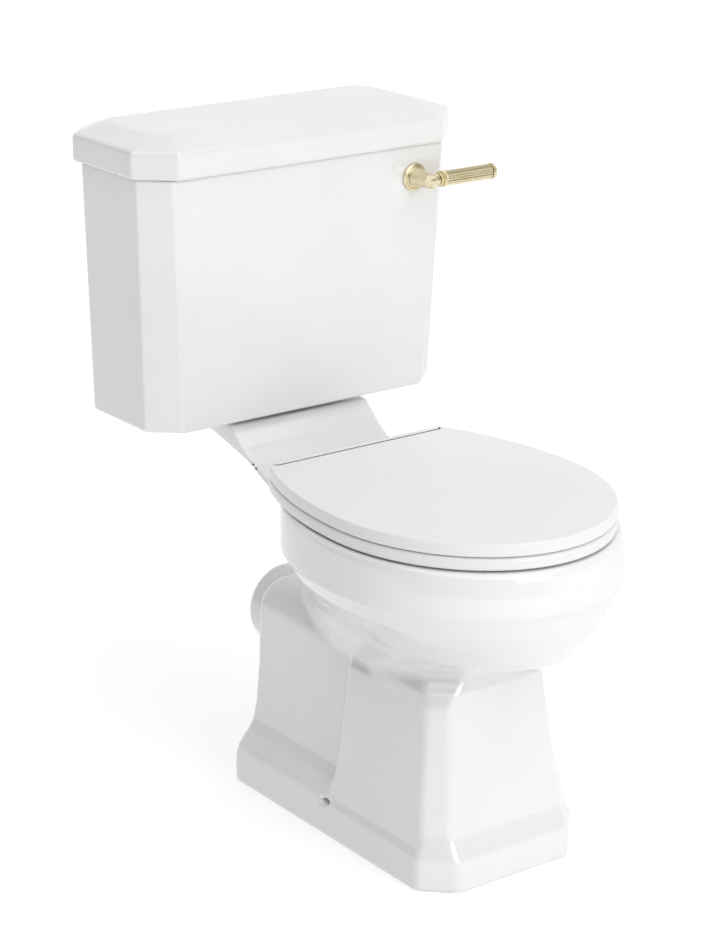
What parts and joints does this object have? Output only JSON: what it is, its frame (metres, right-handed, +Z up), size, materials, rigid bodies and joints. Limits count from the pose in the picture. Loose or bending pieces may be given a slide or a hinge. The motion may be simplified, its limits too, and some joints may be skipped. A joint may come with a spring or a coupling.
{
  "type": "close coupled toilet",
  "caption": "Close coupled toilet: pedestal pan with a horizontal outlet, bevelled cistern with siphon, float valve and side lever, loose lid, and hinged seat ring and cover.",
  "frame": {"origin": "on the floor, on the centreline, in the middle of the foot's rear wall", "axes": "+Z up, +X to the right seen from the front, the front of the pan towards -Y and the wall behind it at +Y"},
  "size_m": [0.4714, 0.6874, 0.8036],
  "materials": {
    "glazed_china": "white vitreous china under a clear gloss glaze",
    "seat_plastic": "white moulded thermoset, gloss",
    "brushed_brass": "fine brushed pale brass",
    "cast_brass": "plain cast and turned brass",
    "stainless_steel": "turned stainless steel",
    "white_plastic": "moulded plastic, satin",
    "float_plastic": "moulded plastic, satin",
    "black_rubber": "moulded rubber, matte",
    "buffer_rubber": "translucent soft plastic, matte"
  },
  "bodies": {
    "pan_and_cistern": {"pan": "glazed_china", "cistern_body": "glazed_china", "coupling_seal": "black_rubber", "coupling_bolt_left": "cast_brass", "coupling_rubber_left": "black_rubber", "coupling_plate_left": "stainless_steel", "coupling_wing_nut_left": "cast_brass", "coupling_bolt_right": "cast_brass", "coupling_rubber_right": "black_rubber", "coupling_plate_right": "stainless_steel", "coupling_wing_nut_right": "cast_brass", "siphon_body": "white_plastic", "siphon_washer": "black_rubber", "siphon_back_nut": "white_plastic", "fill_valve_body": "white_plastic", "fill_valve_washer": "black_rubber", "fill_valve_back_nut": "white_plastic", "fill_valve_cap": "white_plastic", "valve_arm_pin": "stainless_steel", "lever_backplate": "brushed_brass", "lever_bush": "cast_brass", "lever_back_nut": "cast_brass", "lever_rubber": "black_rubber", "hinge_post_left": "stainless_steel", "hinge_pin_left": "stainless_steel", "hinge_stud_left": "stainless_steel", "hinge_sleeve_left": "black_rubber", "hinge_post_right": "stainless_steel", "hinge_pin_right": "stainless_steel", "hinge_stud_right": "stainless_steel", "hinge_sleeve_right": "black_rubber"},
    "cistern_lid": {"cistern_lid": "glazed_china"},
    "seat_ring": {"seat_ring": "seat_plastic", "ring_buffer_front_left": "buffer_rubber", "ring_buffer_front_right": "buffer_rubber", "ring_buffer_rear_left": "buffer_rubber", "ring_buffer_rear_right": "buffer_rubber"},
    "seat_cover": {"seat_cover": "seat_plastic", "cover_buffer_left": "buffer_rubber", "cover_buffer_right": "buffer_rubber"},
    "lever": {"lever_spindle": "cast_brass", "lever_hub": "brushed_brass", "lever_neck": "brushed_brass", "lever_grip": "brushed_brass", "lever_end_cap": "brushed_brass", "lever_crank": "cast_brass"},
    "lift_link": {"lift_link": "stainless_steel"},
    "siphon_plunger_rod": {"siphon_lift_rod": "stainless_steel", "siphon_plunger": "white_plastic", "siphon_flap": "buffer_rubber", "siphon_rod_nut": "stainless_steel"},
    "float": {"float": "float_plastic", "float_rod": "stainless_steel"},
    "valve_arm": {"valve_arm": "white_plastic"}
  },
  "joints": [
    {"name": "seat_ring_hinge", "type": "hinge", "parent": "pan_and_cistern", "child": "seat_ring", "pos_m": [0, -0.0925, 0.4114], "axis": [-1, 0, 0], "range_deg": [0, 97]},
    {"name": "seat_cover_hinge", "type": "hinge", "parent": "seat_ring", "child": "seat_cover", "pos_m": [0, -0.0925, 0.4114], "axis": [1, 0, 0], "range_deg": [-97, 0]},
    {"name": "lid_lift", "type": "slide", "parent": "pan_and_cistern", "child": "cistern_lid", "axis": [0, 0, 1], "range_m": [0, 0.12]},
    {"name": "lever_press", "type": "hinge", "parent": "pan_and_cistern", "child": "lever", "pos_m": [0.149, 0, 0.719], "axis": [0, 1, 0], "range_deg": [0, 30], "stiffness_Nm_per_rad": 0.5, "springref_deg": -40.11},
    {"name": "link_swing", "type": "hinge", "parent": "lever", "child": "lift_link", "pos_m": [0.06496, 0.08, 0.69648], "axis": [0, 1, 0], "range_deg": [-30, 0]},
    {"name": "plunger_lift", "type": "slide", "parent": "pan_and_cistern", "child": "siphon_plunger_rod", "axis": [0, 0, 1], "range_m": [0, 0.04523]},
    {"name": "float_rise", "type": "slide", "parent": "pan_and_cistern", "child": "float", "axis": [0, 0, 1], "range_m": [0, 0.0198]},
    {"name": "valve_arm_rock", "type": "hinge", "parent": "pan_and_cistern", "child": "valve_arm", "pos_m": [-0.134, 0.14, 0.712], "axis": [0, 1, 0], "range_deg": [0, 26.1]}
  ],
  "couplings": [
    {"joint": "link_swing", "follows": "lever_press", "ratio": -1},
    {"joint": "plunger_lift", "follows": "lever_press", "m_per_rad": 0.08601},
    {"joint": "valve_arm_rock", "follows": "float_rise", "rad_per_m": 22.918}
  ]
}
